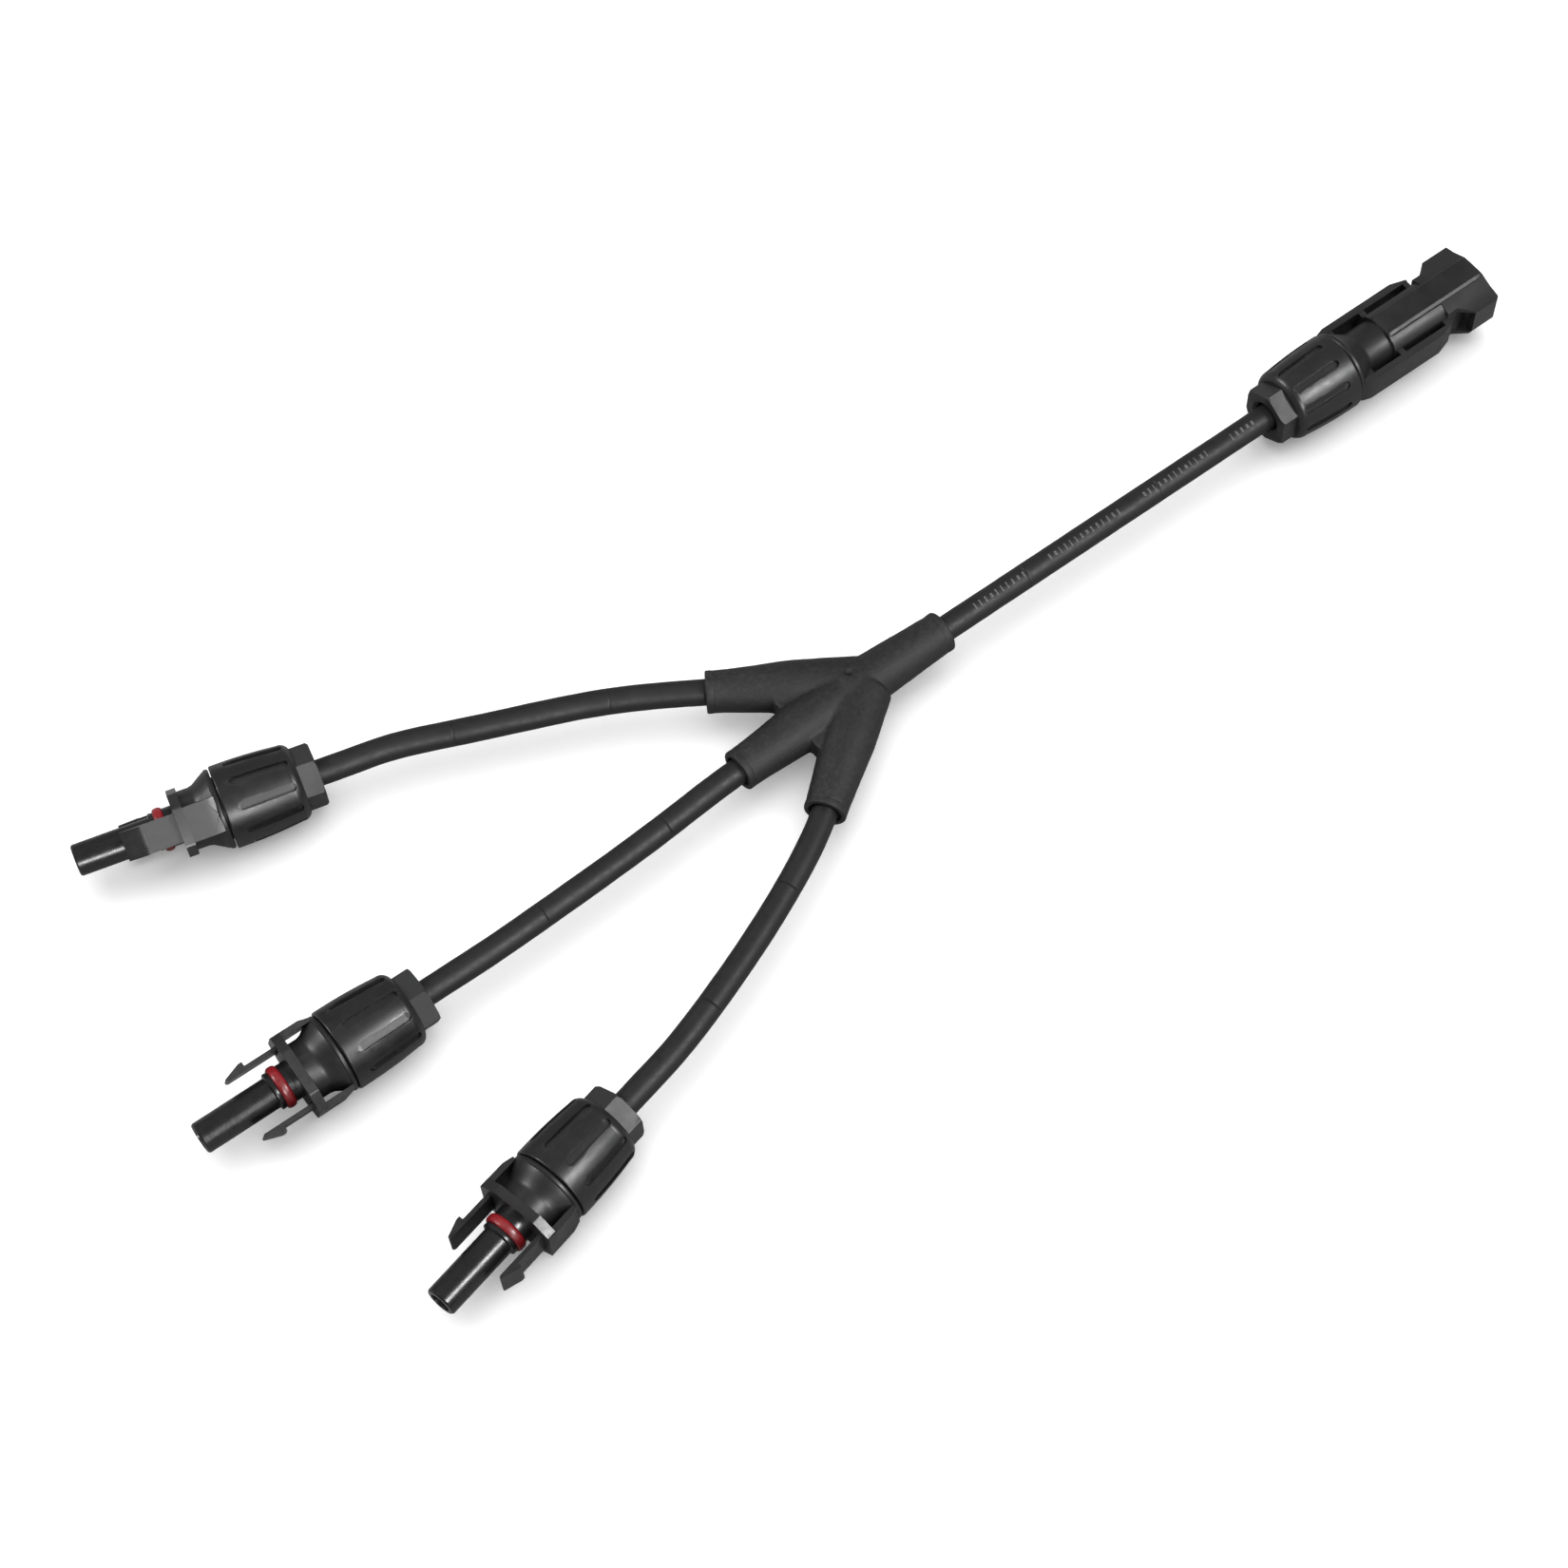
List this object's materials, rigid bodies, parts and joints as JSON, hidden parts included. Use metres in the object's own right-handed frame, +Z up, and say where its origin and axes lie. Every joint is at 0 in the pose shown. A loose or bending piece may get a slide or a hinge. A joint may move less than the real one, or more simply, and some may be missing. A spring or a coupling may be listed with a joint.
{
  "type": "solar branch cable connector",
  "caption": "Moulded branch harness that joins parallel solar panel leads: latching plug connectors on the branch cables and a socket connector on the trunk cable.",
  "frame": {"origin": "centre of the branch moulding, on the plane of the cable centrelines", "axes": "+X along the trunk cable towards the socket's mouth, +Z up, normal to the plane the cables lie in"},
  "size_m": [0.3597, 0.1425, 0.0204],
  "materials": {
    "branch_rubber": "matte moulded rubber",
    "cable_jacket": "matte cross-linked jacket",
    "conductor": "tinned and bare copper strand",
    "housing_plastic": "satin glass-filled plastic",
    "nut_plastic": "satin glass-filled plastic",
    "seal_red": "soft silicone",
    "seal_dark": "soft rubber",
    "claw_plastic": "satin plastic",
    "contact_metal": "tin plated"
  },
  "bodies": {
    "branch": {"branch_moulding": "branch_rubber", "splice_ferrule": "contact_metal", "moulded_in_jackets": "cable_jacket", "moulded_in_conductors": "conductor"},
    "cable_1_a": {"cable_1_jacket_a": "cable_jacket", "cable_1_conductor_a": "conductor"},
    "cable_1_b": {"cable_1_jacket_b": "cable_jacket", "cable_1_conductor_b": "conductor"},
    "cable_1_c": {"cable_1_jacket_c": "cable_jacket", "cable_1_conductor_c": "conductor", "plug_housing_1": "housing_plastic", "gland_seal_1": "seal_dark", "nose_seal_1": "seal_red", "female_contact_1": "contact_metal"},
    "claw_1": {"claw_cage_1": "claw_plastic"},
    "nut_1": {"gland_nut_1": "nut_plastic"},
    "latch_1_left": {"latch_arm_1_left": "housing_plastic"},
    "latch_1_right": {"latch_arm_1_right": "housing_plastic"},
    "cable_2_a": {"cable_2_jacket_a": "cable_jacket", "cable_2_conductor_a": "conductor"},
    "cable_2_b": {"cable_2_jacket_b": "cable_jacket", "cable_2_conductor_b": "conductor"},
    "cable_2_c": {"cable_2_jacket_c": "cable_jacket", "cable_2_conductor_c": "conductor", "plug_housing_2": "housing_plastic", "gland_seal_2": "seal_dark", "nose_seal_2": "seal_red", "female_contact_2": "contact_metal"},
    "claw_2": {"claw_cage_2": "claw_plastic"},
    "nut_2": {"gland_nut_2": "nut_plastic"},
    "latch_2_left": {"latch_arm_2_left": "housing_plastic"},
    "latch_2_right": {"latch_arm_2_right": "housing_plastic"},
    "cable_3_a": {"cable_3_jacket_a": "cable_jacket", "cable_3_conductor_a": "conductor"},
    "cable_3_b": {"cable_3_jacket_b": "cable_jacket", "cable_3_conductor_b": "conductor"},
    "cable_3_c": {"cable_3_jacket_c": "cable_jacket", "cable_3_conductor_c": "conductor", "plug_housing_3": "housing_plastic", "gland_seal_3": "seal_dark", "nose_seal_3": "seal_red", "female_contact_3": "contact_metal"},
    "claw_3": {"claw_cage_3": "claw_plastic"},
    "nut_3": {"gland_nut_3": "nut_plastic"},
    "latch_3_left": {"latch_arm_3_left": "housing_plastic"},
    "latch_3_right": {"latch_arm_3_right": "housing_plastic"},
    "trunk_a": {"trunk_jacket_a": "cable_jacket", "trunk_conductor_a": "conductor"},
    "trunk_b": {"trunk_jacket_b": "cable_jacket", "trunk_conductor_b": "conductor"},
    "trunk_c": {"trunk_jacket_c": "cable_jacket", "trunk_conductor_c": "conductor", "socket_housing": "housing_plastic", "gland_seal_trunk": "seal_dark", "male_contact": "contact_metal"},
    "claw_trunk": {"claw_cage_trunk": "claw_plastic"},
    "nut_trunk": {"gland_nut_trunk": "nut_plastic"}
  },
  "joints": [
    {"name": "cable_1_bend", "type": "hinge", "parent": "branch", "child": "cable_1_a", "pos_m": [-0.0289, 0.02175, 0], "axis": [0, 0, 1], "range_deg": [-8, 8]},
    {"name": "cable_1_bend_mid", "type": "hinge", "parent": "cable_1_a", "child": "cable_1_b", "pos_m": [-0.06022, 0.03855, 0], "axis": [0, 0, 1], "range_deg": [-8, 8]},
    {"name": "cable_1_bend_end", "type": "hinge", "parent": "cable_1_b", "child": "cable_1_c", "pos_m": [-0.09146, 0.05177, 0], "axis": [0, 0, 1], "range_deg": [-8, 8]},
    {"name": "gland_nut_1_travel", "type": "slide", "parent": "cable_1_c", "child": "claw_1", "axis": [0.9681, -0.2504, 0], "range_m": [0, 0.01]},
    {"name": "gland_nut_1_turn", "type": "hinge", "parent": "claw_1", "child": "nut_1", "pos_m": [-0.1055, 0.0554, 0], "axis": [0.9681, -0.2504, 0], "range_deg": [0, 1800]},
    {"name": "latch_1_left_press", "type": "hinge", "parent": "cable_1_c", "child": "latch_1_left", "pos_m": [-0.1368, 0.05898, 0.00559], "axis": [-0.1973, -0.7629, -0.6157], "range_deg": [0, 8], "stiffness_Nm_per_rad": 0.02},
    {"name": "latch_1_right_press", "type": "hinge", "parent": "cable_1_c", "child": "latch_1_right", "pos_m": [-0.13461, 0.06744, -0.00559], "axis": [0.1973, 0.7629, 0.6157], "range_deg": [0, 8], "stiffness_Nm_per_rad": 0.02},
    {"name": "cable_2_bend", "type": "hinge", "parent": "branch", "child": "cable_2_a", "pos_m": [-0.0359, -0.00125, 0], "axis": [0, 0, 1], "range_deg": [-8, 8]},
    {"name": "cable_2_bend_mid", "type": "hinge", "parent": "cable_2_a", "child": "cable_2_b", "pos_m": [-0.07, -0.00345, 0], "axis": [0, 0, 1], "range_deg": [-8, 8]},
    {"name": "cable_2_bend_end", "type": "hinge", "parent": "cable_2_b", "child": "cable_2_c", "pos_m": [-0.1034, -0.0043, 0], "axis": [0, 0, 1], "range_deg": [-8, 8]},
    {"name": "gland_nut_2_travel", "type": "slide", "parent": "cable_2_c", "child": "claw_2", "axis": [0.9999, -0.014, 0], "range_m": [0, 0.01]},
    {"name": "gland_nut_2_turn", "type": "hinge", "parent": "claw_2", "child": "nut_2", "pos_m": [-0.1179, -0.0041, 0], "axis": [0.9999, -0.014, 0], "range_deg": [0, 1800]},
    {"name": "latch_2_left_press", "type": "hinge", "parent": "cable_2_c", "child": "latch_2_left", "pos_m": [-0.14919, -0.01025, -0.00266], "axis": [0.0052, 0.3746, -0.9272], "range_deg": [0, 8], "stiffness_Nm_per_rad": 0.02},
    {"name": "latch_2_right_press", "type": "hinge", "parent": "cable_2_c", "child": "latch_2_right", "pos_m": [-0.149, 0.00292, 0.00266], "axis": [-0.0052, -0.3746, 0.9272], "range_deg": [0, 8], "stiffness_Nm_per_rad": 0.02},
    {"name": "cable_3_bend", "type": "hinge", "parent": "branch", "child": "cable_3_a", "pos_m": [-0.027, -0.0234, 0], "axis": [0, 0, 1], "range_deg": [-8, 8]},
    {"name": "cable_3_bend_mid", "type": "hinge", "parent": "cable_3_a", "child": "cable_3_b", "pos_m": [-0.05611, -0.0378, 0], "axis": [0, 0, 1], "range_deg": [-8, 8]},
    {"name": "cable_3_bend_end", "type": "hinge", "parent": "cable_3_b", "child": "cable_3_c", "pos_m": [-0.08617, -0.04834, 0], "axis": [0, 0, 1], "range_deg": [-8, 8]},
    {"name": "gland_nut_3_travel", "type": "slide", "parent": "cable_3_c", "child": "claw_3", "axis": [0.9744, 0.225, 0], "range_m": [0, 0.01]},
    {"name": "gland_nut_3_turn", "type": "hinge", "parent": "claw_3", "child": "nut_3", "pos_m": [-0.1003, -0.0516, 0], "axis": [0.9744, 0.225, 0], "range_deg": [0, 1800]},
    {"name": "latch_3_left_press", "type": "hinge", "parent": "cable_3_c", "child": "latch_3_left", "pos_m": [-0.1291, -0.06554, 0], "axis": [0, 0, -1], "range_deg": [0, 8], "stiffness_Nm_per_rad": 0.02},
    {"name": "latch_3_right_press", "type": "hinge", "parent": "cable_3_c", "child": "latch_3_right", "pos_m": [-0.1323, -0.0517, 0], "axis": [0, 0, 1], "range_deg": [0, 8], "stiffness_Nm_per_rad": 0.02},
    {"name": "cable_trunk_bend", "type": "hinge", "parent": "branch", "child": "trunk_a", "pos_m": [0.0295, 0, 0], "axis": [0, 0, 1], "range_deg": [-8, 8]},
    {"name": "cable_trunk_bend_mid", "type": "hinge", "parent": "trunk_a", "child": "trunk_b", "pos_m": [0.0685, 0, 0], "axis": [0, 0, 1], "range_deg": [-8, 8]},
    {"name": "cable_trunk_bend_end", "type": "hinge", "parent": "trunk_b", "child": "trunk_c", "pos_m": [0.1075, 0, 0], "axis": [0, 0, 1], "range_deg": [-8, 8]},
    {"name": "gland_nut_trunk_travel", "type": "slide", "parent": "trunk_c", "child": "claw_trunk", "axis": [-1, 0, 0], "range_m": [0, 0.01]},
    {"name": "gland_nut_trunk_turn", "type": "hinge", "parent": "claw_trunk", "child": "nut_trunk", "pos_m": [0.1218, 0, 0], "axis": [-1, 0, 0], "range_deg": [0, 1800]}
  ],
  "couplings": [
    {"joint": "cable_1_bend_mid", "follows": "cable_1_bend", "ratio": 1},
    {"joint": "cable_1_bend_end", "follows": "cable_1_bend", "ratio": 1},
    {"joint": "gland_nut_1_turn", "follows": "gland_nut_1_travel", "rad_per_m": 3141.6},
    {"joint": "cable_2_bend_mid", "follows": "cable_2_bend", "ratio": 1},
    {"joint": "cable_2_bend_end", "follows": "cable_2_bend", "ratio": 1},
    {"joint": "gland_nut_2_turn", "follows": "gland_nut_2_travel", "rad_per_m": 3141.6},
    {"joint": "cable_3_bend_mid", "follows": "cable_3_bend", "ratio": 1},
    {"joint": "cable_3_bend_end", "follows": "cable_3_bend", "ratio": 1},
    {"joint": "gland_nut_3_turn", "follows": "gland_nut_3_travel", "rad_per_m": 3141.6},
    {"joint": "cable_trunk_bend_mid", "follows": "cable_trunk_bend", "ratio": 1},
    {"joint": "cable_trunk_bend_end", "follows": "cable_trunk_bend", "ratio": 1},
    {"joint": "gland_nut_trunk_turn", "follows": "gland_nut_trunk_travel", "rad_per_m": 3141.6}
  ]
}
